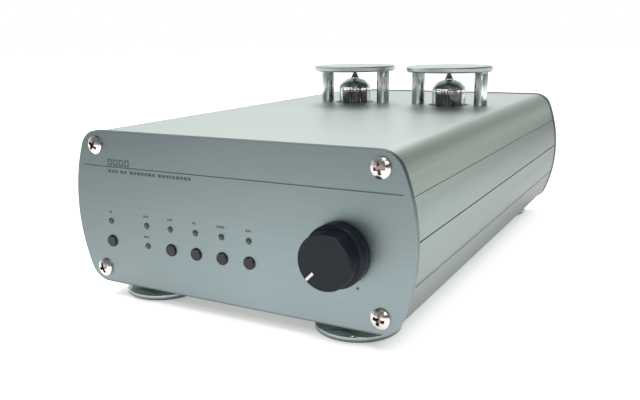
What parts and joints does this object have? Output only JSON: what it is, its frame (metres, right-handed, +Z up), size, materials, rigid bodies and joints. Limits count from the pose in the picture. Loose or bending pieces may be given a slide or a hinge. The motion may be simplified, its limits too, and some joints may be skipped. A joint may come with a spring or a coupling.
{
  "type": "microphone preamp",
  "caption": "Desktop valve microphone preamp in a bowed aluminium case, with a gain knob, push buttons with lamps, guarded valves on top and sockets at the rear.",
  "frame": {"origin": "middle of the footprint's box at the height the feet stand on", "axes": "+X to the right of the front panel, +Y from the front panel to the rear, +Z up"},
  "size_m": [0.19, 0.3124, 0.1128],
  "materials": {
    "panel_metal": "brushed, anodised",
    "shell_metal": "satin anodised extrusion",
    "screw_metal": "nickel plated",
    "knob_plastic": "charcoal, satin",
    "white_mark": "white inlay",
    "steel": "bright zinc",
    "button_plastic": "black, satin",
    "relay_plastic": "black box",
    "board": "green solder mask",
    "brass": "bright",
    "lamp_green": "tinted lens, unlit",
    "film_plastic": "red box",
    "sleeve": "dark blue sleeve",
    "winding": "copper winding under yellow tape",
    "ceramic": "cream, glazed",
    "valve_glass": "clear, silvered dome",
    "anode_metal": "dark carbonised",
    "mica": "mica sheet",
    "getter_metal": "plain",
    "polished_metal": "polished",
    "foot_chrome": "polished chrome",
    "rubber": "black, matt",
    "black_plastic": "black moulding",
    "gold": "gold plated"
  },
  "bodies": {
    "case": {"front_panel": "panel_metal", "rear_panel": "panel_metal", "top_shell": "shell_metal", "bottom_shell": "shell_metal", "front_screws": "screw_metal", "rear_screws": "screw_metal", "gain_pot": "steel", "pot_washer": "steel", "pot_nut": "steel", "button_switches": "relay_plastic", "front_board": "board", "front_standoffs": "brass", "front_board_screws": "steel", "power_lamp": "lamp_green", "level_lamps": "lamp_green", "mode_lamps": "lamp_green", "main_board": "board", "main_standoffs": "brass", "main_board_screws": "steel", "mode_relays": "relay_plastic", "film_capacitors": "film_plastic", "reservoir_capacitors": "sleeve", "mains_transformer": "winding", "transformer_plate": "steel", "transformer_bolt": "steel", "valve_board": "board", "valve_standoffs": "brass", "valve_board_screws": "steel", "valve_sockets": "ceramic", "valve_pins": "steel", "left_valve_glass": "valve_glass", "right_valve_glass": "valve_glass", "valve_anodes": "anode_metal", "valve_spacers": "mica", "valve_getters": "getter_metal", "left_guard_disc": "polished_metal", "right_guard_disc": "polished_metal", "guard_posts": "polished_metal", "guard_screws": "steel", "feet": "foot_chrome", "foot_pads": "rubber", "foot_screws": "steel", "mic_input": "black_plastic", "mic_insert": "black_plastic", "line_output": "black_plastic", "xlr_contacts": "gold", "socket_screws": "steel", "mains_inlet": "black_plastic", "jack_output": "black_plastic"},
    "knob": {"gain_knob": "knob_plastic", "knob_pointer": "white_mark", "knob_set_screw": "steel", "pot_shaft": "steel"},
    "power_cap": {"power_button": "button_plastic"},
    "phantom_cap": {"phantom_button": "button_plastic"},
    "pad_cap": {"pad_button": "button_plastic"},
    "phase_cap": {"phase_button": "button_plastic"},
    "low_cut_cap": {"low_cut_button": "button_plastic"},
    "latch": {"mic_latch": "steel"},
    "drawer": {"fuse_drawer": "black_plastic"}
  },
  "joints": [
    {"name": "gain_turn", "type": "hinge", "parent": "case", "child": "knob", "pos_m": [0.06, -0.1412, 0.0423], "axis": [0, 1, 0], "range_deg": [-15, 285]},
    {"name": "power_press", "type": "slide", "parent": "case", "child": "power_cap", "axis": [0, 1, 0], "range_m": [0, 0.0008], "stiffness_N_per_m": 1500},
    {"name": "phantom_press", "type": "slide", "parent": "case", "child": "phantom_cap", "axis": [0, 1, 0], "range_m": [0, 0.0008], "stiffness_N_per_m": 1500},
    {"name": "pad_press", "type": "slide", "parent": "case", "child": "pad_cap", "axis": [0, 1, 0], "range_m": [0, 0.0008], "stiffness_N_per_m": 1500},
    {"name": "phase_press", "type": "slide", "parent": "case", "child": "phase_cap", "axis": [0, 1, 0], "range_m": [0, 0.0008], "stiffness_N_per_m": 1500},
    {"name": "low_cut_press", "type": "slide", "parent": "case", "child": "low_cut_cap", "axis": [0, 1, 0], "range_m": [0, 0.0008], "stiffness_N_per_m": 1500},
    {"name": "latch_press", "type": "slide", "parent": "case", "child": "latch", "axis": [0, -1, 0], "range_m": [0, 0.0015], "stiffness_N_per_m": 1200},
    {"name": "fuse_drawer_pull", "type": "slide", "parent": "case", "child": "drawer", "axis": [0, 1, 0], "range_m": [0, 0.018]}
  ]
}
